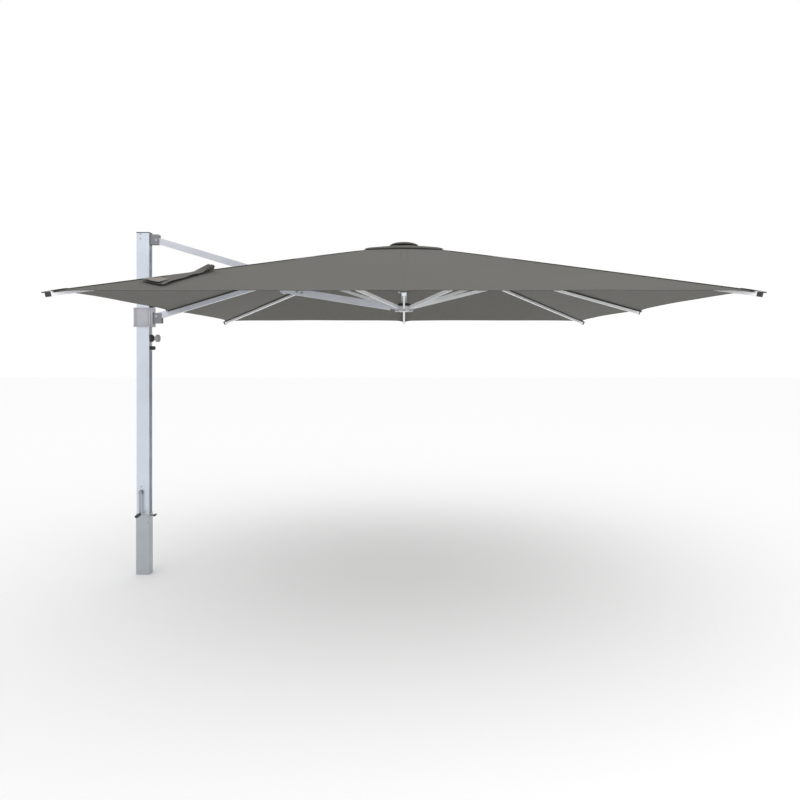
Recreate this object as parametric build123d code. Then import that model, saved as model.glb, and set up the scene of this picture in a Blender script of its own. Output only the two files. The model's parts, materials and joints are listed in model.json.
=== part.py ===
from build123d import *
import os
from math import atan2, cos, degrees, hypot, pi, radians, sin

# Cantilever parasol: a side mast, two scissor arms that cross at an elbow, and a square
# eight-gore canopy hung from a crown, with a lower hub that props the ribs.
# Millimetres. X runs from the mast towards the canopy, -Y is the front, Z is up.
# The origin is the middle of the mast's foot.

# ---------------------------------------------------------------- driving dimensions
MAST_W, MAST_D, MAST_TOP = 94, 68, 2484
MAST_WALL, MAST_WEB = 4, 7
TRACK_W, TRACK_DEPTH = 20, 12
SLEEVE_TOP, SLEEVE_WALL, SLEEVE_GAP = 440, 2.6, 0.4
FOOT_H, PLUG_TOP = 20, 70

PIVOT_X = 95                 # both arm pivots stand this far out from the mast's middle
HEAD_Z, SLIDER_Z = 2432, 1878
ELBOW_X = 1020
CANOPY_X = 1900              # middle of the canopy
CROWN_Z = 2370
HUB_R = 55                   # circle of the rib and strut pivots
DRUM_R, SLOT_INNER_R = 67, 30

ARM_DEPTH, ARM_HALF_W = 46, 16
MAIN_ARM_HALF_W = 15.5
ARM_WALL = 2.5
CHEEK_T = 4
EAR_T = 4
ARM_PIN_R, BORE_PLAY = 6, 0.08

RIB_W, RIB_DEPTH, RIB_WALL = 20, 24, 1.5
TONGUE_W, SLOT_W = 14, 15
RIB_TONGUE, ARM_TONGUE = 30, 45
RIB_PIN_R = 4
MIDDLE_PITCH, CORNER_PITCH = 15.6, 11.05
MIDDLE_TIP, CORNER_TIP = 1727, 2490          # plan distance of a rib's outer end
CAP_LONG = {"middle": 8, "corner": 38}
CAP_TONGUE, TONGUE_T = 15, 4                 # a front corner cap's tongue stands out past its body

STRUT_W, STRUT_DEPTH = 12, 24
STRUT_EYE_R, STRUT_EYE_HOLE = 13, 8          # the hub end floats on its pin
MIDDLE_STRUT_AT, CORNER_STRUT_AT = 848, 860  # along the rib from its pivot
CORNER_DROP = 40                             # the corner struts hang this far below the rib
TUBE_R, TUBE_WALL = 21.5, 2

HALF_CANOPY = 1740
FABRIC = 2
CANOPY_EDGE_Z, CANOPY_CORNER_Z = 1926, 1917
CANOPY_EYE_Z, CANOPY_EYE_R = 2390, 80
VENT_HALF, VENT_EYE_R = 275, 108
VENT_EYE_LIFT, VENT_HEM_LIFT = 7, 9          # the flap's height over the canopy at its eye and at its hem
DOME_R, DOME_FLAT_R, DOME_Z, DOME_H = 103, 46, 2394, 21

# ---------------------------------------------------------------- derived places
ELBOW_Z = (HEAD_Z + SLIDER_Z) / 2
HUB_Z = 2 * ELBOW_Z - CROWN_Z                # the lower hub mirrors the crown about the elbow
ARM_PITCH = degrees(atan2(HEAD_Z - ELBOW_Z, ELBOW_X - PIVOT_X))
ARM_LENGTH = hypot(HEAD_Z - ELBOW_Z, ELBOW_X - PIVOT_X)
ARM_TIP_X = CANOPY_X - HUB_R
OUTER_PITCH = degrees(atan2(CROWN_Z - ELBOW_Z, ARM_TIP_X - ELBOW_X))
OUTER_LENGTH = hypot(CROWN_Z - ELBOW_Z, ARM_TIP_X - ELBOW_X)
HUB_BAR_DROP = 83                            # the hub bar starts this far below the elbow
HUB_BAR_Z = ELBOW_Z - HUB_BAR_DROP
HUB_BAR_PITCH = degrees(atan2(HUB_BAR_Z - HUB_Z, ARM_TIP_X - ELBOW_X))
HUB_BAR_LENGTH = hypot(HUB_BAR_Z - HUB_Z, ARM_TIP_X - ELBOW_X)

AZIMUTH = {
    "right": 0, "rear_right": 45, "rear": 90, "rear_left": 135,
    "front_left": 225, "front": 270, "front_right": 315,
}
LEFT_AZIMUTH = 180

parts = {}


# ---------------------------------------------------------------- helpers
def box(x0, x1, y0, y1, z0, z1):
    """A block between two corners."""
    return Pos((x0 + x1) / 2, (y0 + y1) / 2, (z0 + z1) / 2) * Box(x1 - x0, y1 - y0, z1 - z0)


def rod_x(radius, x0, x1, y=0, z=0):
    """A round bar along X."""
    return Pos((x0 + x1) / 2, y, z) * Rot(0, 90, 0) * Cylinder(radius, x1 - x0)


def rod_y(radius, y0, y1, x=0, z=0):
    """A round bar along Y."""
    return Pos(x, (y0 + y1) / 2, z) * Rot(90, 0, 0) * Cylinder(radius, y1 - y0)


def rod_z(radius, z0, z1, x=0, y=0):
    """A round bar along Z."""
    return Pos(x, y, (z0 + z1) / 2) * Cylinder(radius, z1 - z0)


def round_edges(shape, radius, axis=Axis.Z):
    """Rounds the edges that run along one axis."""
    return fillet(shape.edges().filter_by(axis), radius)


def pitched(shape, x, z, pitch):
    """Turns a link built along +X so that it falls by pitch, and puts its start at (x, z)."""
    return Pos(x, 0, z) * Rot(0, pitch, 0) * shape


def spoke(shape, azimuth, z, pitch):
    """Puts a link built along +X on the pivot circle, in its own radial direction."""
    return Pos(CANOPY_X, 0, z) * Rot(0, 0, azimuth) * Pos(HUB_R, 0, 0) * Rot(0, pitch, 0) * shape


def stadium(length, radius, y0, y1, x0=0):
    """A flat link along +X with round ends."""
    plate = box(x0, x0 + length, y0, y1, -radius, radius)
    return plate + rod_y(radius, y0, y1, x0) + rod_y(radius, y0, y1, x0 + length)


def both_sides(shape):
    """A shape and its mirror image across the middle plane."""
    return shape + mirror(shape, about=Plane.XZ)


def hollow(length, half_w, depth, wall, x0, x1):
    """The bore of a box tube between x0 and x1, with a drain hole at its lower end."""
    bore = box(x0, x1, wall - half_w, half_w - wall, wall - depth / 2, depth / 2 - wall)
    drain_r, inset = 3, 25
    return bore + rod_z(drain_r, -depth / 2 - 1, 0, length - inset)


def thin_shell(triangles, thickness):
    """A closed sheet: triangles on top, the same ones below, and a wall round every free edge."""
    def low(point):
        return (point[0], point[1], point[2] - thickness)

    faces, edges = [], {}
    for tri in triangles:
        faces.append(Face(Wire.make_polygon(tri, close=True)))
        faces.append(Face(Wire.make_polygon([low(p) for p in tri], close=True)))
        for a, b in zip(tri, tri[1:] + tri[:1]):
            key = tuple(sorted((a, b)))
            edges[key] = edges.get(key, 0) + 1
    for (a, b), uses in edges.items():
        if uses == 1:
            faces.append(Face(Wire.make_polygon([a, b, low(b), low(a)], close=True)))
    return Solid(Shell(faces))


# ---------------------------------------------------------------- mast
def make_mast():
    """The mast's extrusion with its track, the cap, the sleeve and the foot."""
    half_w, half_d = MAST_W / 2, MAST_D / 2
    outer = round_edges(box(-half_w, half_w, -half_d, half_d, PLUG_TOP + 2, MAST_TOP), 6)
    web_x = half_w - TRACK_DEPTH
    core = box(MAST_WALL - half_w, web_x - MAST_WEB, MAST_WALL - half_d, half_d - MAST_WALL, 0, 2600)
    track = box(web_x, half_w + 1, -TRACK_W / 2, TRACK_W / 2, 0, 2600)
    parts["mast"] = outer - core - track

    over = 1.5
    cap = box(-half_w - over, half_w + over, -half_d - over, half_d + over, MAST_TOP, MAST_TOP + 6)
    parts["mast_cap"] = fillet(round_edges(cap, 6).faces().sort_by(Axis.Z)[-1].edges(), 2)

    in_w, in_d = half_w + SLEEVE_GAP, half_d + SLEEVE_GAP
    out_w, out_d = in_w + SLEEVE_WALL, in_d + SLEEVE_WALL
    sleeve = round_edges(box(-out_w, out_w, -out_d, out_d, FOOT_H, SLEEVE_TOP), 7)
    sleeve -= round_edges(box(-in_w, in_w, -in_d, in_d, 0, 600), 5)
    parts["lower_sleeve"] = sleeve - rod_x(THUMB_R + BORE_PLAY, in_w - 1, out_w + 1, z=THUMB_Z)

    flange = round_edges(box(-out_w, out_w, -out_d, out_d, 0, FOOT_H), 7)
    plug = round_edges(box(-half_w + 1, half_w - 1, -half_d + 1, half_d - 1, FOOT_H, PLUG_TOP), 6)
    parts["foot_plug"] = flange + plug

    front = -half_d
    head = [rod_y(5, front - 3, front, -17, z) for z in (2441, 2476)]
    sleeve_front = -out_d
    head += [rod_y(6, sleeve_front - 4, sleeve_front, 38, z) for z in (424, 378)]
    head += [rod_y(4, sleeve_front - 2, sleeve_front, -4, 37), rod_y(5, front - 4, front, -10, 637)]
    parts["mast_screws"] = Compound(head)


THUMB_Z, THUMB_R = 424, 4


def make_thumb_screw():
    """The T-headed clamping screw in the sleeve."""
    stem = rod_x(THUMB_R, 42, 72, z=THUMB_Z)
    grip = round_edges(box(70, 82, -22, 22, THUMB_Z - 6, THUMB_Z + 6), 4, Axis.X)
    parts["thumb_screw"] = stem + grip


def make_head_bracket():
    """The clevis at the top of the mast, and its pin."""
    face = MAST_W / 2
    plate = box(face, face + 5, -24, 24, HEAD_Z - 32, HEAD_Z + 44)
    ear = clevis_ear(face + 4, 113, ARM_HALF_W + 0.6, HEAD_Z - 31, HEAD_Z + 43)
    parts["head_bracket"] = plate + both_sides(ear) - arm_bore(PIVOT_X, HEAD_Z)
    parts["head_pin"] = arm_pin(PIVOT_X, HEAD_Z, ARM_HALF_W + 0.6 + EAR_T)


def clevis_ear(x0, x1, inside, z0, z1):
    """A square clevis plate with rounded corners, on the +Y side."""
    return round_edges(box(x0, x1, inside, inside + EAR_T, z0, z1), 7, Axis.Y)


def arm_bore(x, z):
    """The hole that an arm pin runs in."""
    return rod_y(ARM_PIN_R + BORE_PLAY, -60, 60, x, z)


def arm_pin(x, z, grip):
    """A headed pin through two ears whose outer faces are at +-grip."""
    head = rod_y(ARM_PIN_R + 4, grip + 0.2, grip + 5, x, z)
    return rod_y(ARM_PIN_R, -grip - 1, grip + 1, x, z) + both_sides(head)


# ---------------------------------------------------------------- crank
CRANK_X, CRANK_Z, CRANK_THROW = -10, 599, 157
CRANK_SHAFT_R, KNOB_PIN_R = 5, 4


def make_crank():
    """The winding crank on the front of the mast, with a knob that turns on its pin."""
    face = -MAST_D / 2
    hub_back, arm_back, arm_front = face - 10.4, face - 26, face - 32
    boss = rod_y(15, face - 10, face, CRANK_X, CRANK_Z)
    parts["crank_boss"] = boss - rod_y(CRANK_SHAFT_R + BORE_PLAY, face - 11, face - 2, CRANK_X, CRANK_Z)

    arm = box(CRANK_X - 7, CRANK_X + 7, arm_front, arm_back, CRANK_Z - CRANK_THROW, CRANK_Z)
    arm += rod_y(7, arm_front, arm_back, CRANK_X, CRANK_Z - CRANK_THROW)
    arm += rod_y(12, arm_front, hub_back, CRANK_X, CRANK_Z)
    arm += rod_y(CRANK_SHAFT_R, hub_back - 1, face - 3, CRANK_X, CRANK_Z)
    arm += rod_y(KNOB_PIN_R, arm_front - 40, arm_front + 1, CRANK_X, CRANK_Z - CRANK_THROW)
    parts["crank_arm"] = arm

    grip = rod_y(11, arm_front - 72, arm_front - 0.4, CRANK_X, CRANK_Z - CRANK_THROW)
    grip = fillet(grip.edges().filter_by(GeomType.CIRCLE), 4)
    bore = rod_y(KNOB_PIN_R + BORE_PLAY, arm_front - 42, arm_front, CRANK_X, CRANK_Z - CRANK_THROW)
    parts["crank_knob"] = grip - bore


# ---------------------------------------------------------------- arms
UPPER_ARM_END, CHEEK_LAP = 85, 75
HUB_BAR_START, HUB_BAR_DEPTH = 78, 48


def make_upper_arm():
    """The arm from the mast's head, its elbow cheeks, and the bar that carries the lower hub."""
    length = ARM_LENGTH - UPPER_ARM_END
    tube = box(0, length, -ARM_HALF_W, ARM_HALF_W, -ARM_DEPTH / 2, ARM_DEPTH / 2)
    tube += rod_y(ARM_DEPTH / 2, -ARM_HALF_W, ARM_HALF_W)
    tube -= hollow(length, ARM_HALF_W, ARM_DEPTH, ARM_WALL, 40, length + 1)
    tube = pitched(tube, PIVOT_X, HEAD_Z, ARM_PITCH)
    parts["upper_arm_tube"] = tube - arm_bore(PIVOT_X, HEAD_Z)

    y0, y1 = ARM_HALF_W, ARM_HALF_W + CHEEK_T
    lap = stadium(CHEEK_LAP + UPPER_ARM_END, 22, y0, y1)
    cheek = Pos(ELBOW_X, 0, ELBOW_Z) * Rot(0, 180 + ARM_PITCH, 0) * lap
    cheek += pitched(stadium(HUB_BAR_DROP, 29, y0, y1), ELBOW_X, ELBOW_Z, 90)
    cheek += pitched(stadium(HUB_BAR_START + CHEEK_LAP, 22, y0, y1), ELBOW_X, HUB_BAR_Z, HUB_BAR_PITCH)
    parts["elbow_cheeks"] = both_sides(cheek) - arm_bore(ELBOW_X, ELBOW_Z)
    parts["elbow_pin"] = arm_pin(ELBOW_X, ELBOW_Z, y1)

    bar_end = HUB_BAR_LENGTH - ARM_TONGUE
    bar = box(HUB_BAR_START, bar_end, -ARM_HALF_W, ARM_HALF_W, -HUB_BAR_DEPTH / 2, HUB_BAR_DEPTH / 2)
    bar -= hollow(bar_end, ARM_HALF_W, HUB_BAR_DEPTH, ARM_WALL, HUB_BAR_START - 1, bar_end - 20)
    bar += stadium(ARM_TONGUE + 10, 13, -TONGUE_W / 2, TONGUE_W / 2, bar_end - 10)
    bar -= rod_y(RIB_PIN_R + BORE_PLAY, -20, 20, HUB_BAR_LENGTH)
    parts["hub_bar"] = pitched(bar, ELBOW_X, HUB_BAR_Z, HUB_BAR_PITCH)

    rivets = []
    for along in (UPPER_ARM_END + 22, UPPER_ARM_END + 58):
        x = ELBOW_X - along * cos(radians(ARM_PITCH))
        z = ELBOW_Z + along * sin(radians(ARM_PITCH))
        rivets += [rod_y(8, y1, y1 + 4, x, z), rod_y(8, -y1 - 4, -y1, x, z)]
    for along in (0, HUB_BAR_START + 22, HUB_BAR_START + 58):
        x = ELBOW_X + along * cos(radians(HUB_BAR_PITCH))
        z = HUB_BAR_Z - along * sin(radians(HUB_BAR_PITCH))
        rivets += [rod_y(8, y1, y1 + 4, x, z), rod_y(8, -y1 - 4, -y1, x, z)]
    parts["cheek_rivets"] = Compound(rivets)


def make_main_arm():
    """The long arm from the slider through the elbow to the crown. It is also the left rib."""
    half = MAIN_ARM_HALF_W
    inner = box(0, ARM_LENGTH, -half, half, -ARM_DEPTH / 2, ARM_DEPTH / 2)
    inner += rod_y(ARM_DEPTH / 2, -half, half) + rod_y(ARM_DEPTH / 2, -half, half, ARM_LENGTH)
    inner -= hollow(70, half, ARM_DEPTH, ARM_WALL, 40, ARM_LENGTH - 40)
    inner = pitched(inner, PIVOT_X, SLIDER_Z, -ARM_PITCH)

    end = OUTER_LENGTH - ARM_TONGUE
    outer = box(0, end, -half, half, -ARM_DEPTH / 2, ARM_DEPTH / 2)
    outer -= hollow(75, half, ARM_DEPTH, ARM_WALL, 40, end - 20)
    outer += stadium(ARM_TONGUE + 10, 12, -TONGUE_W / 2, TONGUE_W / 2, end - 10)
    outer -= rod_y(RIB_PIN_R + BORE_PLAY, -20, 20, OUTER_LENGTH)
    outer = pitched(outer, ELBOW_X, ELBOW_Z, -OUTER_PITCH)

    arm = inner + outer - arm_bore(PIVOT_X, SLIDER_Z) - arm_bore(ELBOW_X, ELBOW_Z)
    parts["main_arm_tube"] = arm


# ---------------------------------------------------------------- slider
CARRIAGE_TOP, CARRIAGE_BOTTOM = SLIDER_Z + 61, SLIDER_Z - 78
CARRIAGE_LEFT, PLATE_RIGHT, CARRIAGE_RIGHT, PLATE_T, SLIDE_GAP = -64, 58, 70, 11, 0.6
LOCK_Z, INDEX_Z, STOP_Z = 1717, 1646, 1956
LOCK_STEM_R, INDEX_STEM_R = 5, 4


def make_slider():
    """The carriage round the mast, its clevis, and the shoe in the track with its fittings."""
    in_w, in_d = MAST_W / 2 + SLIDE_GAP, MAST_D / 2 + SLIDE_GAP
    front = -in_d - PLATE_T
    plate = box(CARRIAGE_LEFT, PLATE_RIGHT, front, -in_d, CARRIAGE_BOTTOM, CARRIAGE_TOP)
    plate = round_edges(plate, 4, Axis.Z)
    border, lip, stand = 14, 3, 4
    x0, x1 = CARRIAGE_LEFT + border, PLATE_RIGHT - border
    plate -= box(x0 + lip, x1 - lip, front - 1, front + 2, CARRIAGE_BOTTOM + 3 * lip, CARRIAGE_TOP - 3 * lip)
    for left in (x0, x1 - lip):
        plate += box(left, left + lip, front - stand, front + 1, CARRIAGE_BOTTOM, CARRIAGE_TOP)
    for low in (CARRIAGE_BOTTOM, CARRIAGE_TOP - 2 * lip):
        plate += box(CARRIAGE_LEFT, PLATE_RIGHT, front - stand, front + 1, low, low + 2 * lip)
    parts["carriage_front"] = plate
    parts["carriage_rear"] = mirror(plate, about=Plane.XZ)
    side_l = box(CARRIAGE_LEFT, -in_w, -in_d, in_d, CARRIAGE_BOTTOM, CARRIAGE_TOP)
    side_r = box(in_w, CARRIAGE_RIGHT, -in_d, in_d, CARRIAGE_BOTTOM, CARRIAGE_TOP)
    parts["carriage_sides"] = Compound([side_l, side_r])

    screw_x = (CARRIAGE_LEFT + border / 2, PLATE_RIGHT - border / 2)
    heads = [rod_y(4.5, front - 2.5, front, x, SLIDER_Z + up) for x in screw_x for up in (46, -63)]
    parts["carriage_screws"] = Compound(heads)

    grip = MAIN_ARM_HALF_W + 0.6 + EAR_T
    ear = clevis_ear(CARRIAGE_RIGHT, 131, MAIN_ARM_HALF_W + 0.6, SLIDER_Z - 52, SLIDER_Z + 24)
    base = box(CARRIAGE_RIGHT, CARRIAGE_RIGHT + 1.5, -26, 26, SLIDER_Z - 56, SLIDER_Z + 30)
    parts["slider_clevis"] = base + both_sides(ear) - arm_bore(PIVOT_X, SLIDER_Z)
    parts["slider_pin"] = arm_pin(PIVOT_X, SLIDER_Z, grip)

    shoe = box(MAST_W / 2 - TRACK_DEPTH + 1, in_w, 1 - TRACK_W / 2, TRACK_W / 2 - 1, INDEX_Z - 20, STOP_Z + 18)
    parts["track_shoe"] = shoe - rod_x(INDEX_STEM_R + BORE_PLAY, 30, 50, z=INDEX_Z)
    stop = rod_x(15, in_w, 77, z=STOP_Z)
    parts["upper_stop"] = fillet(stop.edges().sort_by(Axis.X)[-1], 5)
    base = chamfer(rod_x(27, in_w, 74, z=LOCK_Z).edges().sort_by(Axis.X)[-1], 14)
    parts["knob_base"] = base - rod_x(LOCK_STEM_R + BORE_PLAY, 56, 80, z=LOCK_Z)


def make_knobs():
    """The fluted locking knob and the small pull knob below it."""
    knob = fillet(rod_x(28, 84, 112, z=LOCK_Z).edges().filter_by(GeomType.CIRCLE), 10)
    knob += rod_x(12, 74.4, 90, z=LOCK_Z)
    flutes = 8
    for i in range(flutes):
        turn = 2 * pi * i / flutes
        knob -= rod_x(5, 80, 120, y=31 * sin(turn), z=LOCK_Z + 31 * cos(turn))
    parts["locking_knob"] = knob + rod_x(LOCK_STEM_R, 58, 80, z=LOCK_Z)

    head = rod_x(14, 48, 78, z=INDEX_Z)
    head = fillet(head.edges().filter_by(GeomType.CIRCLE), 3)
    parts["index_knob"] = head + rod_x(INDEX_STEM_R, 37, 50, z=INDEX_Z)


# ---------------------------------------------------------------- crown and lower hub
CROWN_HALF_H, HUB_TOP, HUB_BOTTOM, SOCKET_Z = 22, 11, 27, 1950
RING_R, RING_TOP, RING_LIFT = 46, 31, 14


def drum(z0, z1, centre_z):
    """A hub drum with eight radial slots."""
    shape = rod_z(DRUM_R, z0, z1, CANOPY_X)
    for azimuth in range(0, 360, 45):
        slot = box(SLOT_INNER_R, DRUM_R + 5, -SLOT_W / 2, SLOT_W / 2, z0 - centre_z - 1, z1 - centre_z + 1)
        shape -= Pos(CANOPY_X, 0, centre_z) * Rot(0, 0, azimuth) * slot
    return shape


def pins(z):
    """The eight rib or strut pins of a drum. Each bridges its slot and ends in the drum's holes."""
    half = SLOT_W / 2 + 8
    return [spoke(rod_y(RIB_PIN_R, -half, half), azimuth, z, 0) for azimuth in range(0, 360, 45)]


def pin_holes(z):
    """The holes for those pins."""
    half = SLOT_W / 2 + 9
    return [spoke(rod_y(RIB_PIN_R + 0.02, -half, half), azimuth, z, 0) for azimuth in range(0, 360, 45)]


def make_crown():
    """The crown drum, the short centre tube below it with its catch, and the dome on top."""
    top = drum(CROWN_Z - CROWN_HALF_H, CROWN_Z + CROWN_HALF_H, CROWN_Z)
    for hole in pin_holes(CROWN_Z):
        top -= hole
    parts["crown_drum"] = top
    parts["crown_pins"] = Compound(pins(CROWN_Z))

    tube_top = CROWN_Z - CROWN_HALF_H
    tube = rod_z(TUBE_R, SOCKET_Z + 5, tube_top, CANOPY_X)
    tube -= rod_z(TUBE_R - TUBE_WALL, SOCKET_Z, tube_top - 12, CANOPY_X)
    catch_x = CANOPY_X - TUBE_R
    tube += box(catch_x - 22, catch_x + 1, -9, 9, 2048, 2072)
    parts["centre_tube"] = tube

    with BuildPart() as dome:
        with BuildSketch(Plane.XZ):
            with BuildLine():
                Line((0, DOME_Z), (DOME_R, DOME_Z))
                Line((DOME_R, DOME_Z), (DOME_R, DOME_Z + 4))
                Line((0, DOME_Z), (0, DOME_Z + DOME_H))
                Line((0, DOME_Z + DOME_H), (DOME_FLAT_R, DOME_Z + DOME_H))
                ThreePointArc(
                    (DOME_FLAT_R, DOME_Z + DOME_H),
                    (0.5 * (DOME_FLAT_R + DOME_R) + 6, DOME_Z + 0.72 * DOME_H),
                    (DOME_R, DOME_Z + 4),
                )
            make_face()
        revolve(axis=Axis.Z)
    parts["crown_cap"] = Pos(CANOPY_X, 0, 0) * dome.part


def make_lower_hub():
    """The hub that the struts prop against. The centre tube plugs into its socket."""
    hub = drum(HUB_Z - HUB_BOTTOM, HUB_Z + HUB_TOP, HUB_Z)
    for hole in pin_holes(HUB_Z):
        hub -= hole
    hub -= rod_z(TUBE_R + 0.8, SOCKET_Z, HUB_Z + 50, CANOPY_X)
    parts["lower_hub"] = hub
    parts["hub_pins"] = Compound(pins(HUB_Z))
    ring = rod_z(SLOT_INNER_R + 10, HUB_Z + HUB_TOP, HUB_Z + RING_LIFT + 1, CANOPY_X)
    ring += rod_z(RING_R, HUB_Z + RING_LIFT, HUB_Z + RING_TOP, CANOPY_X)
    parts["hub_ring"] = ring - rod_z(TUBE_R + 3, HUB_Z, HUB_Z + 60, CANOPY_X)


# ---------------------------------------------------------------- ribs and struts
def kind_of(azimuth):
    """Middle ribs run square to the canopy's edges, corner ribs run to its corners."""
    return "middle" if azimuth % 90 == 0 else "corner"


def rib_length(kind):
    """From the crown pivot to the rib's open end, where its cap starts."""
    pitch, tip = (MIDDLE_PITCH, MIDDLE_TIP) if kind == "middle" else (CORNER_PITCH, CORNER_TIP)
    return (tip - HUB_R) / cos(radians(pitch)) - CAP_LONG[kind]


def make_rib(name, azimuth):
    """A box-tube rib with its tongue, its strut pivot and its end cap."""
    kind = kind_of(azimuth)
    length = rib_length(kind)
    half_w, half_d = RIB_W / 2, RIB_DEPTH / 2
    rib = box(RIB_TONGUE, length, -half_w, half_w, -half_d, half_d)
    wall = RIB_WALL
    rib -= box(RIB_TONGUE + 6, length + 1, wall - half_w, half_w - wall, wall - half_d, half_d - wall)
    rib += stadium(RIB_TONGUE + 2, 10, -TONGUE_W / 2, TONGUE_W / 2)
    rib -= rod_y(RIB_PIN_R + BORE_PLAY, -20, 20)
    if kind == "corner":
        at, drop = CORNER_STRUT_AT, CORNER_DROP
        plate = box(at - 15, at + 15, STRUT_W / 2 + 0.6, STRUT_W / 2 + 3.6, -drop, 0.5 - half_d)
        plate += rod_y(15, STRUT_W / 2 + 0.6, STRUT_W / 2 + 3.6, at, -drop)
        rib += both_sides(plate)
        rib -= rod_y(RIB_PIN_R + BORE_PLAY, -20, 20, at, -drop)
    else:
        rib -= rod_y(RIB_PIN_R + BORE_PLAY, -20, 20, MIDDLE_STRUT_AT)
    pitch = MIDDLE_PITCH if kind == "middle" else CORNER_PITCH
    parts["rib_" + name] = spoke(rib, azimuth, CROWN_Z, pitch)

    end = length + CAP_LONG[kind]
    body_end = end - CAP_TONGUE if kind == "corner" else end
    cap = box(length, body_end, -half_w - 1, half_w + 1, -half_d - 1, half_d + 1)
    cap = chamfer(cap.faces().sort_by(Axis.X)[-1].edges(), 3)
    if kind == "corner":
        tongue = box(length, end, -7, 7, half_d + 1 - TONGUE_T, half_d + 1)
        cap += round_edges(tongue, 3)
    parts["rib_cap_" + name] = spoke(cap, azimuth, CROWN_Z, pitch)


def make_strut(name, azimuth):
    """A flat strut from the lower hub to a rib: a fork round a middle rib, an eye below a corner rib."""
    kind = kind_of(azimuth)
    if kind == "middle":
        along, drop, pitch = MIDDLE_STRUT_AT, 0, radians(MIDDLE_PITCH)
    else:
        along, drop, pitch = CORNER_STRUT_AT, CORNER_DROP, radians(CORNER_PITCH)
    out = along * cos(pitch) - drop * sin(pitch)
    up = CROWN_Z - along * sin(pitch) - drop * cos(pitch) - HUB_Z
    length, rise = hypot(out, up), degrees(atan2(up, out))

    half_w, half_d = STRUT_W / 2, STRUT_DEPTH / 2
    fork_start = length - 80
    bar_end = fork_start + 10 if kind == "middle" else length
    strut = box(0, bar_end, -half_w, half_w, -half_d, half_d) + rod_y(STRUT_EYE_R, -half_w, half_w)
    if kind == "middle":
        inside, outside = RIB_W / 2 + 0.6, RIB_W / 2 + 3.6
        strut += box(fork_start, fork_start + 18, -outside, outside, -half_d, half_d)
        prong = box(fork_start + 1, length, inside, outside, -half_d, half_d)
        prong += rod_y(half_d, inside, outside, length)
        strut += both_sides(prong)
        strut += rod_y(RIB_PIN_R, -outside, outside, length)
    else:
        strut += rod_y(half_d, -half_w, half_w, length)
        strut += rod_y(RIB_PIN_R, -half_w - 5, half_w + 5, length)
    strut -= rod_y(STRUT_EYE_HOLE, -20, 20)
    parts["strut_" + name] = spoke(strut, azimuth, HUB_Z, -rise)


# ---------------------------------------------------------------- fabric
def fabric_ring(eye_r, eye_z, half, edge_z, corner_z, left_line):
    """Triangles of a square, eight-gore sheet with an octagonal eye. left_line adds points on the left rib."""
    left = LEFT_AZIMUTH // 45
    inner, outer = [], []
    for azimuth in range(0, 360, 45):
        a = radians(azimuth)
        reach = half / max(abs(cos(a)), abs(sin(a)))
        inner.append((CANOPY_X + eye_r * cos(a), eye_r * sin(a), eye_z))
        end_z = edge_z if kind_of(azimuth) == "middle" else corner_z
        outer.append((CANOPY_X + reach * cos(a), reach * sin(a), end_z))
    triangles = []
    for i in range(8):
        j = (i + 1) % 8
        line_i = [inner[i], *(left_line if i == left else []), outer[i]]
        line_j = [inner[j], *(left_line if j == left else []), outer[j]]
        corner, chain = (outer[j], line_i) if i == left else (outer[i], line_j)
        triangles.append([inner[i], inner[j], corner])
        triangles += [[a, b, corner] for a, b in zip(chain, chain[1:])]
    return triangles


def make_canopy():
    """The canopy sheet with the slit that the upper arm passes through, and the vent flap over it."""
    ridge = (ELBOW_X, 0.0, ELBOW_Z + ARM_DEPTH / 2 / cos(radians(ARM_PITCH)) + 8)
    edges = (CANOPY_EDGE_Z, CANOPY_CORNER_Z)
    sheet = thin_shell(fabric_ring(CANOPY_EYE_R, CANOPY_EYE_Z, HALF_CANOPY, *edges, [ridge]), FABRIC)
    slit_half, before, after = 30, 190, 80
    parts["canopy"] = sheet - box(ELBOW_X - before, ELBOW_X + after, -slit_half, slit_half, 2000, 2400)

    fall = (CANOPY_EYE_Z - CANOPY_EDGE_Z) / (HALF_CANOPY - CANOPY_EYE_R)
    eye_z = CANOPY_EYE_Z - fall * (VENT_EYE_R - CANOPY_EYE_R) + VENT_EYE_LIFT
    hem_z = CANOPY_EYE_Z - fall * (VENT_HALF - CANOPY_EYE_R) + VENT_HEM_LIFT
    parts["vent_flap"] = thin_shell(fabric_ring(VENT_EYE_R, eye_z, VENT_HALF, hem_z, hem_z, []), FABRIC)


def make_tie_strap():
    """The closing strap, sewn at the front-left hip and lying down the front panel."""
    fall = (CANOPY_EYE_Z - CANOPY_EDGE_Z) / (HALF_CANOPY - CANOPY_EYE_R)

    def on_front(x, y):
        return (CANOPY_X + x, y, CANOPY_EYE_Z - fall * (-y - CANOPY_EYE_R) + 14)

    root_a, root_b = on_front(-1090, -1150), on_front(-1150, -1210)
    tip_a, tip_b = on_front(-1250, -1650), on_front(-1370, -1570)
    parts["tie_strap"] = thin_shell([[root_a, root_b, tip_b], [root_a, tip_b, tip_a]], 8)


# ---------------------------------------------------------------- build
make_mast()
make_thumb_screw()
make_head_bracket()
make_crank()
make_upper_arm()
make_main_arm()
make_slider()
make_knobs()
make_crown()
make_lower_hub()
for rib_name, rib_azimuth in AZIMUTH.items():
    make_rib(rib_name, rib_azimuth)
    make_strut(rib_name, rib_azimuth)
make_canopy()
make_tie_strap()

os.makedirs("parts", exist_ok=True)
for node, shape in parts.items():
    export_step(shape, f"parts/{node}.step")
print(len(parts), "nodes")
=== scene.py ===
import json
from math import atan2, cos, hypot, pi, radians, sin

import bpy
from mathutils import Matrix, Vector, noise


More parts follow.
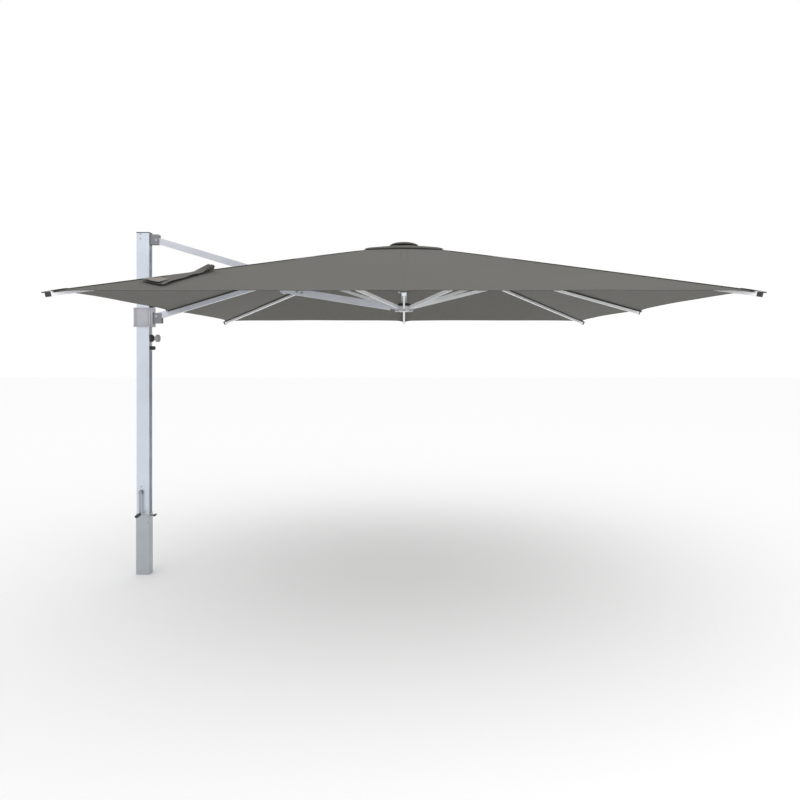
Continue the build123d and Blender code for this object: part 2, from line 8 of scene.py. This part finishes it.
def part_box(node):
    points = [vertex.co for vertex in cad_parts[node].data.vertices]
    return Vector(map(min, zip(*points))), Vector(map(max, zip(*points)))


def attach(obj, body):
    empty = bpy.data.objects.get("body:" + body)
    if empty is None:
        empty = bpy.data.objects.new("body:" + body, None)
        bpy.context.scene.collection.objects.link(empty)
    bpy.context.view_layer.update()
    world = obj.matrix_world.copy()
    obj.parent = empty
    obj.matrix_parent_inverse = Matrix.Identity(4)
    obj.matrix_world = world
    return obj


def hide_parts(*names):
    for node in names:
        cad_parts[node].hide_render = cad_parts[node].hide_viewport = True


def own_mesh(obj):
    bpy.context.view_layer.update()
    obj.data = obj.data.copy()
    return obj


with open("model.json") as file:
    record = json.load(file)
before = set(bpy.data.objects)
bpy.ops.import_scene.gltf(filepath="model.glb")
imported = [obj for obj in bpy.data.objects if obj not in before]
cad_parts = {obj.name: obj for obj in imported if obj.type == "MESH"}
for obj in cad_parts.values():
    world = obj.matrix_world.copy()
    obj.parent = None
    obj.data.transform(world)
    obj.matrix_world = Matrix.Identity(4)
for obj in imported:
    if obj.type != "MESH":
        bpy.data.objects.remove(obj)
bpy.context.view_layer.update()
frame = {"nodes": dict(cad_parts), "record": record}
record = frame["record"]
joints = {j["name"]: j for j in record["behaviour"]["joints"]}

# ---------------------------------------------------------------- sizes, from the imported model
LOW, HIGH = (Vector(corner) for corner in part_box("canopy"))
CENTRE_X = (LOW.x + HIGH.x) / 2
HALF = (HIGH.x - LOW.x) / 2
EYE_Z, EYE_R = HIGH.z, 0.080
CLOTH = 0.0013                              # thickness of the canopy's cloth
POCKET_CLOTH, TAB_CLOTH, STRAP_CLOTH = 0.0009, 0.0015, 0.0020
CORNER_Z = LOW.z + 0.002                    # the CAD sheet is 2 mm thick
EDGE_Z = CORNER_Z + 0.0005                  # the edges' middles are almost level with the corners
CROWN = Vector(joints["rib_fold_right"]["pos_m"])
PIVOT_R = CROWN.x - CENTRE_X
ELBOW = Vector(joints["elbow"]["pos_m"])
FOLD = radians(joints["arm_fold"]["range_deg"][1])
RIDGE_LIFT = 0.0185                         # how far the left arm's elbow lifts the cloth

AZIMUTH = {
    "right": 0, "rear_right": 45, "rear": 90, "rear_left": 135,
    "left": 180, "front_left": 225, "front": 270, "front_right": 315,
}


def rib_body(name):
    """The body that carries the cloth along one rib. The main arm is the left rib."""
    return "main_arm" if name == "left" else "rib_" + name


# ---------------------------------------------------------------- material nodes
class Nodes:
    """A short way to build one material."""

    def __init__(self, name):
        self.material = bpy.data.materials.new(name)
        self.material.use_nodes = True
        self.tree = self.material.node_tree
        self.shader = self.tree.nodes["Principled BSDF"]

    def add(self, kind, **settings):
        node = self.tree.nodes.new(kind)
        for key, value in settings.items():
            setattr(node, key, value)
        return node

    def link(self, source, target):
        self.tree.links.new(source, target)

    def math(self, operation, a, b=None, clamp=False):
        node = self.add("ShaderNodeMath", operation=operation, use_clamp=clamp)
        for socket, value in zip(node.inputs, (a, b)):
            if hasattr(value, "is_output"):
                self.link(value, socket)
            elif value is not None:
                socket.default_value = value
        return node.outputs[0]

    def coords(self, kind, scale=(1, 1, 1)):
        source = self.add("ShaderNodeTexCoord").outputs[kind]
        mapping = self.add("ShaderNodeMapping")
        mapping.inputs["Scale"].default_value = scale
        self.link(source, mapping.inputs["Vector"])
        return mapping.outputs["Vector"]

    def noise(self, vector, scale, detail=3.0, rough=0.5):
        node = self.add("ShaderNodeTexNoise")
        node.inputs["Scale"].default_value = scale
        node.inputs["Detail"].default_value = detail
        node.inputs["Roughness"].default_value = rough
        self.link(vector, node.inputs["Vector"])
        return node.outputs["Fac"]

    def ramp(self, value, stops):
        """The first two stops are the outermost ones; the rest lie between them."""
        node = self.add("ShaderNodeValToRGB")
        ramp = node.color_ramp
        for i, (place, colour) in enumerate(stops):
            stop = ramp.elements[i] if i < 2 else ramp.elements.new(place)
            stop.position = place
            stop.color = (*colour, 1)
        self.link(value, node.inputs["Fac"])
        return node.outputs["Color"]

    def range(self, value, low, high):
        node = self.add("ShaderNodeMapRange")
        node.inputs["To Min"].default_value = low
        node.inputs["To Max"].default_value = high
        self.link(value, node.inputs["Value"])
        return node.outputs["Result"]

    def bump(self, height, distance, strength=0.5):
        node = self.add("ShaderNodeBump")
        node.inputs["Strength"].default_value = strength
        node.inputs["Distance"].default_value = distance
        self.link(height, node.inputs["Height"])
        self.link(node.outputs["Normal"], self.shader.inputs["Normal"])

    def set(self, **sockets):
        for key, value in sockets.items():
            self.shader.inputs[key.replace("_", " ")].default_value = value


def shade(colour, factor):
    return tuple(min(1.0, c * factor) for c in colour)


def metal(name, colour, grain=(60, 60, 60), metallic=0.85, low=0.28, high=0.42, depth=0.00006, plus_x_shade=0.0):
    """Satin metal whose fine lines run along the axis with the smallest grain, with painted shade darkening
    the faces turned towards +X.
    """
    m = Nodes(name)
    lines = m.noise(m.coords("Object", grain), 12, 4, 0.6)
    cloud = m.noise(m.coords("Object"), 5, 2)
    both = m.math("ADD", m.math("MULTIPLY", lines, 0.45), m.math("MULTIPLY", cloud, 0.55))
    # Painted shade: faces whose normal points towards +X are darkened, standing in for the shade on the
    # mast's right side.
    if plus_x_shade:
        facing = m.add("ShaderNodeSeparateXYZ")
        m.link(m.coords("Normal"), facing.inputs["Vector"])
        painted_shade_mask = m.math("GREATER_THAN", facing.outputs["X"], 0.6)
        both = m.math("SUBTRACT", both, m.math("MULTIPLY", painted_shade_mask, plus_x_shade))
    dark, light, middle = shade(colour, 0.35), shade(colour, 1.06), shade(colour, 0.90)
    colours = m.ramp(both, [(0.0, dark), (0.7, light), (0.3, middle)])
    m.link(colours, m.shader.inputs["Base Color"])
    m.link(m.range(lines, low, high), m.shader.inputs["Roughness"])
    m.set(Metallic=metallic)
    m.bump(lines, depth, 0.35)
    return m.material


def painted(name, colour, rough=0.36, metallic=0.1):
    """Satin powder coat with its fine orange-peel surface."""
    m = Nodes(name)
    peel = m.noise(m.coords("Object"), 620, 2)
    cloud = m.noise(m.coords("Object"), 7, 3)
    colours = m.ramp(cloud, [(0.3, shade(colour, 0.94)), (0.7, shade(colour, 1.05))])
    m.link(colours, m.shader.inputs["Base Color"])
    m.link(m.range(cloud, rough - 0.05, rough + 0.07), m.shader.inputs["Roughness"])
    m.set(Metallic=metallic, Coat_Weight=0.15, Coat_Roughness=0.3)
    m.bump(peel, 0.00008, 0.3)
    return m.material


def moulded(name, colour, rough=0.5):
    """Moulded plastic with a fine spark grain, a little paler where it is rubbed."""
    m = Nodes(name)
    grain = m.noise(m.coords("Object"), 900, 3, 0.65)
    rubbed = m.noise(m.coords("Object"), 38, 4, 0.6)
    colours = m.ramp(rubbed, [(0.3, shade(colour, 0.95)), (0.8, shade(colour, 1.08))])
    m.link(colours, m.shader.inputs["Base Color"])
    m.link(m.range(grain, rough - 0.08, rough + 0.1), m.shader.inputs["Roughness"])
    m.bump(grain, 0.00014, 0.5)
    return m.material


def cloth(name, colour, seam=0.011, hem=0.024, binding=0.006):
    """Woven outdoor cloth. In its UVs, in metres, x runs from the rib and y from the hem."""
    m = Nodes(name)
    uv = m.add("ShaderNodeTexCoord").outputs["UV"]
    split = m.add("ShaderNodeSeparateXYZ")
    m.link(uv, split.inputs["Vector"])
    across, down = split.outputs["X"], split.outputs["Y"]

    yarn = 2 * pi / 0.0014
    warp = m.math("SINE", m.math("MULTIPLY", across, yarn))
    weft = m.math("SINE", m.math("MULTIPLY", down, yarn))
    weave = m.math("MULTIPLY", m.math("ADD", m.math("MULTIPLY", warp, weft), 1.0), 0.5)

    cloud = m.noise(m.coords("Object"), 2.2, 4, 0.55)
    slub = m.noise(m.coords("UV", (240, 16, 1)), 3, 2)
    tone = m.math("ADD", m.math("MULTIPLY", cloud, 0.45), m.math("MULTIPLY", slub, 0.35))
    tone = m.math("ADD", tone, m.math("MULTIPLY", weave, 0.2))

    # Two rows of stitches beside each rib, and one along the hem.
    beside = m.math("ABSOLUTE", m.math("SUBTRACT", m.math("ABSOLUTE", across), seam))
    row = m.math("LESS_THAN", beside, 0.0008)
    along = m.math("GREATER_THAN", m.math("SINE", m.math("MULTIPLY", down, 2 * pi / 0.006)), -0.4)
    by_rib = m.math("MULTIPLY", row, along)
    row = m.math("LESS_THAN", m.math("ABSOLUTE", m.math("SUBTRACT", down, hem)), 0.0008)
    along = m.math("GREATER_THAN", m.math("SINE", m.math("MULTIPLY", across, 2 * pi / 0.006)), -0.4)
    by_hem = m.math("MULTIPLY", row, along)
    stitches = m.math("MAXIMUM", by_rib, by_hem)
    folded = m.math("LESS_THAN", down, hem + 0.003)
    doubled = m.math("LESS_THAN", m.math("ABSOLUTE", across), seam + 0.003)
    thick = m.math("MAXIMUM", folded, doubled)

    bound = m.math("LESS_THAN", down, binding)
    tone = m.math("SUBTRACT", tone, m.math("MULTIPLY", thick, 0.05))
    tone = m.math("SUBTRACT", tone, m.math("MULTIPLY", bound, 1.0))
    tone = m.math("ADD", tone, m.math("MULTIPLY", stitches, 0.22))
    dark, light, middle = shade(colour, 0.45), shade(colour, 1.25), shade(colour, 0.85)
    colours = m.ramp(tone, [(0.0, dark), (1.0, light), (0.2, middle)])
    m.link(colours, m.shader.inputs["Base Color"])
    m.link(m.range(cloud, 0.78, 0.92), m.shader.inputs["Roughness"])
    m.set(Sheen_Weight=0.05, Sheen_Roughness=0.5, Specular_IOR_Level=0.2)
    height = m.math("ADD", m.math("MULTIPLY", weave, 0.25), m.math("MULTIPLY", thick, 1.0))
    height = m.math("SUBTRACT", height, m.math("MULTIPLY", stitches, 0.5))
    m.bump(height, 0.0006, 0.6)
    return m.material


def plain_stage(name, colour):
    """A matt colour for the floor."""
    m = Nodes(name)
    m.set(Base_Color=(*colour, 1), Roughness=0.9)
    return m.material


MATERIALS = {
    # The mast's faces turned towards +X get painted shade.
    "mast_metal": metal("mast_metal", (0.63, 0.68, 0.755), (90, 90, 1.2), plus_x_shade=0.42),
    "sleeve_metal": metal("sleeve_metal", (0.45, 0.48, 0.51), (90, 90, 1.2), low=0.34, high=0.5),
    "arm_metal": painted("arm_metal", (0.62, 0.645, 0.70)),
    "rib_metal": painted("rib_metal", (0.80, 0.81, 0.83)),
    "cast_grey": painted("cast_grey", (0.225, 0.232, 0.255), 0.45, 0.3),
    "carriage_plastic": moulded("carriage_plastic", (0.42, 0.42, 0.46)),
    "black_plastic": moulded("black_plastic", (0.022, 0.022, 0.024)),
    "crown_plastic": moulded("crown_plastic", (0.058, 0.055, 0.048), 0.6),
    "knob_grey": moulded("knob_grey", (0.30, 0.30, 0.31)),
    "hub_metal": metal("hub_metal", (0.60, 0.61, 0.63), (40, 40, 40), 0.6, 0.3, 0.42),
    "steel": metal("steel", (0.40, 0.41, 0.43), (140, 140, 140), 1.0, 0.3, 0.42),
    "fabric": cloth("fabric", (0.121, 0.118, 0.107)),
    "fabric_trim": cloth("fabric_trim", (0.066, 0.064, 0.058)),
    # A paler copy of the cloth: painted light on the strap's turned-up end.
    "strap_end_painted_light": cloth("strap_end_painted_light", (0.235, 0.225, 0.195)),
}


LIGHT_CAPS = ["rib_cap_front", "rib_cap_rear"]      # these two are pale, the other ribs' caps black


def dress_cad_nodes():
    """Gives each CAD node its slot's material, smooth round faces and softened edges."""
    slots = {entry["node"]: entry["material_slot"] for entry in record["subparts"]}
    for node, piece in frame["nodes"].items():
        piece.data.materials.clear()
        piece.data.materials.append(MATERIALS["arm_metal" if node in LIGHT_CAPS else slots[node]])
        piece.data.shade_smooth()
        piece.data.set_sharp_from_angle(angle=radians(32))
        edge = piece.modifiers.new("soft_edges", "BEVEL")
        edge.width = 0.0009
        edge.segments = 2
        edge.limit_method = "ANGLE"
        edge.angle_limit = radians(50)
        edge.harden_normals = False


# ---------------------------------------------------------------- meshes
def vertex_normals(points, faces):
    """The mean direction of the faces round each point."""
    normals = [Vector() for _ in points]
    for face in faces:
        corners = [Vector(points[i]) for i in face]
        across = (corners[2] - corners[0]).cross(corners[3] - corners[1])
        for i in face:
            normals[i] += across
    return [n.normalized() if n.length > 0 else Vector((0, 0, 1)) for n in normals]


def cloth_piece(name, points, faces, uvs, material, thickness=CLOTH):
    """A closed sheet: the points on top, the same ones a thickness below, and a wall round the free edges."""
    count = len(points)
    lower = [Vector(p) - n * thickness for p, n in zip(points, vertex_normals(points, faces))]
    closed = list(faces) + [tuple(i + count for i in reversed(face)) for face in faces]
    edges = {(a, b) for face in faces for a, b in zip(face, face[1:] + face[:1])}
    closed += [(b, a, a + count, b + count) for a, b in sorted(edges) if (b, a) not in edges]
    piece = new_mesh(name, list(points) + lower, closed, list(uvs) * 2, material)
    piece.data.set_sharp_from_angle(angle=radians(50))
    return piece


def new_mesh(name, points, faces, uvs, material):
    """A mesh piece with one UV point for each vertex."""
    mesh = bpy.data.meshes.new(name)
    mesh.from_pydata([tuple(p) for p in points], [], faces)
    layer = mesh.uv_layers.new(name="cloth")
    for loop in mesh.loops:
        layer.data[loop.index].uv = uvs[loop.vertex_index]
    mesh.materials.append(material)
    mesh.shade_smooth()
    piece = bpy.data.objects.new(name, mesh)
    bpy.context.collection.objects.link(piece)
    return piece


def grid_faces(rows, columns, keep=lambda r, c: True):
    """Faces of a grid whose points are stored row by row, facing up when columns run anticlockwise."""
    faces = []
    for r in range(rows - 1):
        for c in range(columns - 1):
            if keep(r, c):
                a = r * columns + c
                faces.append((a, a + columns, a + columns + 1, a + 1))
    return faces


# ---------------------------------------------------------------- canopy
ROWS, SIDE_COLUMNS = 73, 15
ROW_CROWDING, COLUMN_CROWDING = 1.35, 1.8   # rows crowd towards the hem, columns towards the rib
SAG, SCALLOP = 0.014, 0.034                 # between ribs: the drop in metres, the hem's cut as a share
WAVE, WAVES_PER_METRE = 0.0035, 2.3         # soft unevenness of the cloth
EYE_DIP = 0.010                             # the cloth flattens out towards the crown
TIP_WRAP, TIP_START = 0.009, 0.993          # the cloth is pulled down into the ribs' ends
FOLD_LAP = 1.10                             # folded gores lap a little over their neighbours
SLIT_HALF, SLIT_BEFORE, SLIT_AFTER = 0.052, 0.20, 0.09
SLIT_COLUMNS = 4                            # columns on each side of the rib that the slit takes


def hem_reach(angle):
    """Plan distance from the middle to the straight line between the corners."""
    return HALF / max(abs(cos(angle)), abs(sin(angle)))


def rib_width(azimuth):
    """The share of the hem, on one side of a rib, that lies flat on the rib's end."""
    return 0.009 if azimuth % 90 == 0 else 0.014


def rib_line(azimuth, t):
    """A point on a rib's line, from the canopy's middle: t runs from the eye to the hem."""
    angle = radians(azimuth)
    reach = EYE_R + t * (hem_reach(angle) - EYE_R)
    end_z = EDGE_Z if azimuth % 90 == 0 else CORNER_Z
    return Vector((reach * cos(angle), reach * sin(angle), EYE_Z + t * (end_z - EYE_Z)))


def cloth_point(azimuth, side, s, t, lift=0.0):
    """A point of the canopy: s from this rib to its neighbour, t from the eye to the hem."""
    bow = max(0.0, 4 * s * (1 - s))
    near, far = rib_width(azimuth), rib_width(azimuth + 45 * side)
    free = min(1.0, max(0.0, (s - near) / (1 - near - far)))
    t_cut = t * (1 - SCALLOP * (4 * free * (1 - free)) ** 0.5 * t ** 6)
    p = rib_line(azimuth, t_cut).lerp(rib_line(azimuth + 45 * side, t_cut), s)
    p.z -= SAG * bow * t * (1.7 - t)
    at_rib = max(0.0, 1 - min(s / near, (1 - s) / far) / 3)
    p.z -= TIP_WRAP * at_rib * max(0.0, t - TIP_START) / (1 - TIP_START)
    place = Vector((p.x * WAVES_PER_METRE, p.y * WAVES_PER_METRE, 0.5))
    p.z += WAVE * t * bow * noise.noise(place)
    from_left = s if azimuth == 180 else 1 - s if azimuth + 45 * side == 180 else 1
    p.z += ridge_lift(t) * (1 - from_left) ** 1.5 + lift
    p.z -= EYE_DIP * max(0.0, 1 - t) ** 9 * min(1.0, from_left * 3)
    p.x += CENTRE_X
    return p


def ridge_lift(t):
    """The cloth rises over the elbow of the main arm and falls away on both sides of it."""
    reach = EYE_R + t * (HALF - EYE_R)
    elbow = CENTRE_X - ELBOW.x
    if reach < elbow:
        return RIDGE_LIFT * (reach - EYE_R) / (elbow - EYE_R)
    return RIDGE_LIFT * (HALF - reach) / (HALF - elbow)


def fold_keep(azimuth):
    """How much of its width a gore keeps when folded, so that it still meets its neighbours."""
    middle = azimuth % 90 == 0
    mid_hem = Vector((HALF, HALF / 2))
    drop = CROWN.z - EDGE_Z

    def folded_reach(plan_reach):
        out = plan_reach - PIVOT_R
        pitch = atan2(drop, out) + FOLD
        return PIVOT_R + hypot(out, drop) * cos(pitch)

    r_mid = folded_reach(mid_hem.x)
    r_cor = folded_reach((mid_hem.x + mid_hem.y) / 2 ** 0.5)
    # The two folded gores share one plan point: r_mid along the middle rib, r_cor along the corner rib.
    y = r_cor * 2 ** 0.5 - r_mid
    x_cor = (r_mid - y) / 2 ** 0.5
    if middle:
        return y / mid_hem.y
    return x_cor / ((mid_hem.x - mid_hem.y) / 2 ** 0.5)


def gore_columns():
    """Shares from one mid-line across the rib to the other: (side, s) pairs."""
    steps = [0.5 * (i / (SIDE_COLUMNS - 1)) ** COLUMN_CROWDING for i in range(SIDE_COLUMNS)]
    return [(-1, s) for s in reversed(steps[1:])] + [(1, s) for s in steps]


def make_gore(name, azimuth):
    """The cloth that goes with one rib, from mid-line to mid-line."""
    columns = gore_columns()
    middle = SIDE_COLUMNS - 1
    angle = radians(azimuth)
    tangent = Vector((-sin(angle), cos(angle)))
    slit = (ELBOW.x - SLIT_BEFORE, ELBOW.x + SLIT_AFTER)
    points, uvs, in_slit = [], [], []
    for r in range(ROWS):
        t = 1 - (1 - r / (ROWS - 1)) ** ROW_CROWDING
        for c, (side, s) in enumerate(columns):
            p = cloth_point(azimuth, side, s, t)
            cut = name == "left" and slit[0] < p.x < slit[1]
            if cut and abs(c - middle) <= SLIT_COLUMNS:
                p.y = -SLIT_HALF * side * abs(c - middle) / SLIT_COLUMNS
            points.append(p)
            in_slit.append(cut)
            off = Vector((p.x - CENTRE_X, p.y))
            uvs.append((off.dot(tangent), (1 - t) * (hem_reach(angle) - EYE_R)))

    def keep(r, c):
        open_row = in_slit[r * len(columns) + middle] and in_slit[(r + 1) * len(columns) + middle]
        return not (open_row and -SLIT_COLUMNS <= c - middle < SLIT_COLUMNS)

    faces = grid_faces(ROWS, len(columns), keep)
    piece = cloth_piece("canopy_" + name, points, faces, uvs, MATERIALS["fabric"])
    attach(piece, rib_body(name))
    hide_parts("canopy")
    fold_with(piece, azimuth)


def fold_with(piece, azimuth):
    """Gives the piece its own copy of its mesh; the share of its width it would keep when folded is worked
    out but not applied.
    """
    keep = FOLD_LAP * fold_keep(azimuth)
    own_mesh(piece)


def pocket_gap(name):
    """The stretch of a rib, as plan distances from the middle, where the pocket is left open:
    at the slit on the left rib, and round the strut's fork on the others."""
    if name == "left":
        elbow, clear = CENTRE_X - ELBOW.x, 0.03
        return elbow - SLIT_AFTER - clear, elbow + SLIT_BEFORE + clear
    low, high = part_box("strut_" + name)
    fork = max(hypot(x - CENTRE_X, y) for x in (low.x, high.x) for y in (low.y, high.y))
    return fork - 0.11, fork + 0.04


def make_pocket(name, azimuth):
    """The two sewn strips under the canopy that hold it over a rib."""
    angle = radians(azimuth)
    tangent = Vector((-sin(angle), cos(angle), 0))
    rib_half = 0.0155 if name == "left" else 0.010
    half = rib_half + 0.002
    flat_part, rows = 0.010, 50
    first, share = 0.16, 0.83
    points, uvs, faces = [], [], []

    def t_of(r):
        return first + share * r / (rows - 1)

    gap = pocket_gap(name)

    def keep(r, c):
        reach = EYE_R + t_of(r) * (hem_reach(angle) - EYE_R)
        return not gap[0] < reach < gap[1]

    for side in (-1, 1):
        start = len(points)
        for r in range(rows):
            t = t_of(r)
            top = cloth_point(azimuth, 1, 0.0, t)
            under = CLOTH + 0.0006
            down = 0.010 + 0.010 * (1 - t)
            for off, drop in ((half + flat_part, 0.0), (half, 0.0), (half, down)):
                points.append(top + tangent * side * off - Vector((0, 0, under + drop)))
                uvs.append((off, (1 - t) * (hem_reach(angle) - EYE_R) + 0.05))
        for face in grid_faces(rows, 3, keep):
            turned = face if side == 1 else reversed(face)
            faces.append(tuple(start + i for i in turned))
    piece = cloth_piece("rib_pocket_" + name, points, faces, uvs, MATERIALS["fabric_trim"], POCKET_CLOTH)
    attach(piece, rib_body(name))


def make_slit_binding():
    """The band sewn round the slit that the upper arm passes through."""
    band, rows = 0.022, 25
    reach = HALF - EYE_R
    t0 = (CENTRE_X - ELBOW.x - SLIT_AFTER - band - EYE_R) / reach
    t1 = (CENTRE_X - ELBOW.x + SLIT_BEFORE + band - EYE_R) / reach
    edge_rows = max(1, round((rows - 1) * band / (t1 - t0) / reach))
    steps = [0.0, 0.012, 0.026, SLIT_HALF, SLIT_HALF + 0.6 * band, SLIT_HALF + band]
    offsets = [-y for y in reversed(steps[1:])] + steps
    points, uvs = [], []
    for r in range(rows):
        t = t0 + (t1 - t0) * r / (rows - 1)
        for y in offsets:
            points.append(cloth_point(180, -1 if y > 0 else 1, abs(y) / (EYE_R + t * reach), t, 0.0014))
            uvs.append((0.03 + abs(y), 0.2 + t * reach))

    def keep(r, c):
        in_rows = edge_rows <= r < rows - 1 - edge_rows
        return not (in_rows and abs(offsets[c] + offsets[c + 1]) / 2 < SLIT_HALF)

    faces = [tuple(reversed(f)) for f in grid_faces(rows, len(offsets), keep)]
    piece = cloth_piece("slit_binding", points, faces, uvs, MATERIALS["fabric_trim"])
    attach(piece, "main_arm")
    fold_with(piece, 180)


def make_corner_tab(name, azimuth):
    """The strip that ties the cloth's corner down over the rib's cap."""
    low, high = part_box("rib_cap_" + name)
    angle = radians(azimuth)
    tangent = Vector((-sin(angle), cos(angle), 0))
    cap_reach = max(hypot(x - CENTRE_X, y) for x in (low.x, high.x) for y in (low.y, high.y))
    run = hem_reach(angle) - EYE_R
    t0, t1 = 0.965, (cap_reach - 0.006 - EYE_R) / run
    rows = 9
    points, uvs = [], []
    for r in range(rows):
        k = r / (rows - 1)
        t = t0 + (t1 - t0) * k
        middle = rib_line(azimuth, t) + Vector((CENTRE_X, 0, 0.0024 - 0.0035 * k ** 2))
        half = 0.018 - 0.007 * k
        for off in (-half, -0.5 * half, 0.0, 0.5 * half, half):
            points.append(middle + tangent * off - Vector((0, 0, 6 * off * off)))
            uvs.append((0.03 + off, 0.03 + (t1 - t) * run))
    faces = grid_faces(rows, 5)
    piece = cloth_piece("corner_tab_" + name, points, faces, uvs, MATERIALS["fabric_trim"], TAB_CLOTH)
    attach(piece, rib_body(name))


# ---------------------------------------------------------------- vent flap
def make_vent_flap():
    """One puffed square sheet round the crown, with its hem turned down over the canopy."""
    rows, gore_steps = 24, 12
    low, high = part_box("vent_flap")
    half, eye = (high.x - low.x) / 2, 0.088
    gap, puff, eye_lift = 0.0035, 0.0140, 0.0010
    points, uvs = [], []
    columns = 8 * gore_steps + 1
    for r in range(rows):
        k = r / (rows - 1)
        for c in range(columns):
            gore, step = divmod(c, gore_steps)
            azimuth, s = 45 * gore, step / gore_steps
            corner = s if gore % 2 == 0 else 1 - s
            stretch = 1 + (2 ** 0.5 - 1) * corner ** 2
            bow = 4 * s * (1 - s)
            hem = half * stretch * (1 - 0.03 * bow)
            run = hem_reach(radians(azimuth)) * (1 - s) + hem_reach(radians(azimuth + 45)) * s - EYE_R
            t = (eye + (hem - eye) * k - EYE_R) / run
            swell = sin(pi * k ** 2.6) ** 0.6 if 0 < k < 1 else 0.0
            lift = gap + eye_lift * (1 - k) + (puff - 0.006 * corner + 0.003 * bow) * swell
            lift += 0.002 * k * (1 + noise.noise(Vector((c / 3.0, 4 * k, 2.5))))
            points.append(cloth_point(azimuth % 360, 1, s, t, lift))
            uvs.append((0.05 + c * 0.02, (1 - k) * (hem - eye)))
    piece = cloth_piece("vent_cover", points, grid_faces(rows, columns), uvs, MATERIALS["fabric"])
    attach(piece, "crown")
    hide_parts("vent_flap")


# ---------------------------------------------------------------- tie strap
STRAP_LEFT = ((0.006, 0.635), (0.085, 0.862))     # (s, t) on the front panel, from the root to the end
STRAP_RIGHT = ((0.090, 0.668), (0.235, 0.935))
STRAP_TURN = 0.78                                 # share of its length where the turned-back end starts


def strap_layer(first, last, b0, b1, lift_of, rows, columns):
    """Points and UVs of one layer of the strap between two shares of its length and of its width."""
    points, uvs = [], []
    for r in range(rows):
        a = first + (last - first) * r / (rows - 1)
        left = Vector(STRAP_LEFT[0]).lerp(Vector(STRAP_LEFT[1]), a)
        right = Vector(STRAP_RIGHT[0]).lerp(Vector(STRAP_RIGHT[1]), a)
        for c in range(columns):
            b = b0 + (b1 - b0) * c / (columns - 1)
            s, t = left.lerp(right, b)
            points.append(cloth_point(225, 1, s, t, lift_of(a, b)))
            uvs.append((0.03 + b * 0.16, 0.001 + (1 - a) * 0.50))
    return points, uvs


def strap_lift(a, b):
    """The strap's height over the cloth: stood up in folds at its root, and a free edge on its right."""
    root_share, root_height, folds = 0.22, 0.034, 3
    gathered = max(0.0, 1 - a / root_share) ** 1.3
    lift = 0.006 + 0.005 * sin(pi * b) + 0.008 * b ** 3
    lift += gathered * root_height * (0.5 + 0.5 * cos(2 * folds * pi * b)) * min(1.0, 0.5 + a / 0.04)
    lift += 0.003 * sin(5 * pi * a + 2 * b) * (0.2 + a)
    return lift + 0.003 * noise.noise(Vector((a * 6, b * 3, 1.5)))


def curl_lift(a, b):
    """The turned-up end lies back over the strap."""
    turned = min(1.0, (a - STRAP_TURN) / (1 - STRAP_TURN))
    return strap_lift(a, b) + 0.004 + 0.007 * sin(pi * turned / 2) ** 2


def make_strap_piece(name, material, flat, area, *layer):
    points, uvs = strap_layer(*layer)
    faces = [tuple(reversed(f)) for f in grid_faces(*layer[-2:])]
    piece = cloth_piece(name, points, faces, uvs, MATERIALS[material], STRAP_CLOTH)
    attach(piece, "rib_front_left")
    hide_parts("tie_strap")
    fold_with(piece, AZIMUTH["front_left"])


def make_tie_strap():
    """The closing strap: gathered at the hip, flat down the front panel, with its end turned back."""
    band = (0.0, 1.0, 0.0, 1.0, strap_lift, 46, 17)
    turned_end = (STRAP_TURN, 1.0, 0.06, 0.80, curl_lift, 14, 13)
    make_strap_piece("tie_strap_band", "fabric", (0.20, 0.52), 0.062, *band)
    # The turned-up end gets the paler cloth, a painted highlight for the light that it catches.
    make_strap_piece("tie_strap_end", "strap_end_painted_light", (0.14, 0.11), 0.011, *turned_end)


# ---------------------------------------------------------------- scene
def make_stage():
    floor_half = 40
    corners = [(x * floor_half, y * floor_half) for x, y in ((-1, -1), (1, -1), (1, 1), (-1, 1))]
    points = [(x, y, -0.001) for x, y in corners]
    floor = new_mesh("floor", points, [(0, 1, 2, 3)], corners, plain_stage("floor", (0.97, 0.97, 0.97)))

    world = bpy.data.worlds.new("studio")
    world.use_nodes = True
    world.node_tree.nodes["Background"].inputs["Color"].default_value = (1, 1, 1, 1)
    world.node_tree.nodes["Background"].inputs["Strength"].default_value = 1.0
    bpy.context.scene.world = world
    bpy.context.scene.view_settings.view_transform = "Standard"

    soft_light("key", (-1.5, -5.5, 5.5), 18, 4.0)
    soft_light("fill", (6.0, -4.5, 3.0), 45, 3.5)
    soft_light("low", (2.6, -4.2, 0.5), 16, 3.0)


def soft_light(name, place, power, size):
    light = bpy.data.lights.new(name, "AREA")
    light.energy = power
    light.size = size
    lamp = bpy.data.objects.new(name, light)
    bpy.context.collection.objects.link(lamp)
    lamp.location = place
    aim = Vector((CENTRE_X, 0, 1.6)) - Vector(place)
    lamp.rotation_euler = aim.to_track_quat("-Z", "Y").to_euler()


def make_camera():
    camera = bpy.data.cameras.new("camera")
    camera.lens = 32.27
    camera.sensor_width = 36
    camera.shift_x = -0.005
    camera.shift_y = -0.06
    eye = bpy.data.objects.new("camera", camera)
    bpy.context.collection.objects.link(eye)
    eye.location = (CENTRE_X, -5.25, 1.617)
    eye.rotation_euler = (radians(90), 0, 0)
    bpy.context.scene.camera = eye


dress_cad_nodes()
for rib_name, rib_azimuth in AZIMUTH.items():
    make_gore(rib_name, rib_azimuth)
    make_pocket(rib_name, rib_azimuth)
    if rib_azimuth % 90:
        make_corner_tab(rib_name, rib_azimuth)
make_slit_binding()
make_vent_flap()
make_tie_strap()
make_stage()
make_camera()
